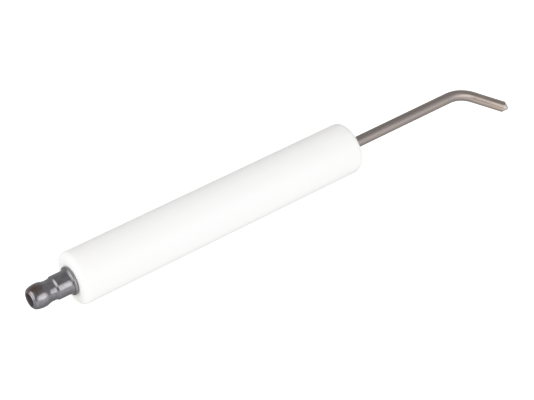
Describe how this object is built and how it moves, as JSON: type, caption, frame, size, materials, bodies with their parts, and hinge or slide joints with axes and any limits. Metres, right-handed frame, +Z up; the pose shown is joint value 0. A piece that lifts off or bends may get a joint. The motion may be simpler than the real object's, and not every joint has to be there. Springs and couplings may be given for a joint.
{
  "type": "ignition electrode",
  "caption": "Burner ignition electrode: glazed ceramic tube with a bent, pointed heat-resistant rod at one end and a screwed waisted ignition-lead terminal at the other.",
  "frame": {"origin": "middle of the ceramic tube, on its axis, where the burner's clamp holds it", "axes": "+X along the ceramic's axis towards the spark tip, +Z up; the tip's leg turns to -Y and 25 degrees below the horizontal"},
  "size_m": [0.1474, 0.0165, 0.014],
  "materials": {
    "ceramic_glaze": "clear gloss glaze over white alumina",
    "heat_resistant_wire": "drawn wire with a brownish oxide, satin",
    "terminal_steel": "turned and tumbled dark steel, soft gloss",
    "spring_steel": "rolled spring steel, satin",
    "plated_steel": "zinc-plated steel, satin",
    "cement": "matt refractory cement"
  },
  "bodies": {
    "insulator_and_rod": {"ceramic_insulator": "ceramic_glaze", "electrode_rod": "heat_resistant_wire", "connection_stud": "plated_steel", "coupling_sleeve": "plated_steel", "front_seal": "cement", "rear_seal": "cement"},
    "washer": {"lock_washer": "spring_steel"},
    "nut": {"terminal_nut": "terminal_steel"}
  },
  "joints": [
    {"name": "terminal_unscrew", "type": "slide", "parent": "insulator_and_rod", "child": "washer", "axis": [-1, 0, 0], "range_m": [0, 0.0084]},
    {"name": "nut_turn", "type": "hinge", "parent": "washer", "child": "nut", "pos_m": [-0.049, 0, 0], "axis": [-1, 0, 0], "range_deg": [0, 4320]}
  ],
  "couplings": [
    {"joint": "nut_turn", "follows": "terminal_unscrew", "rad_per_m": 8976}
  ]
}
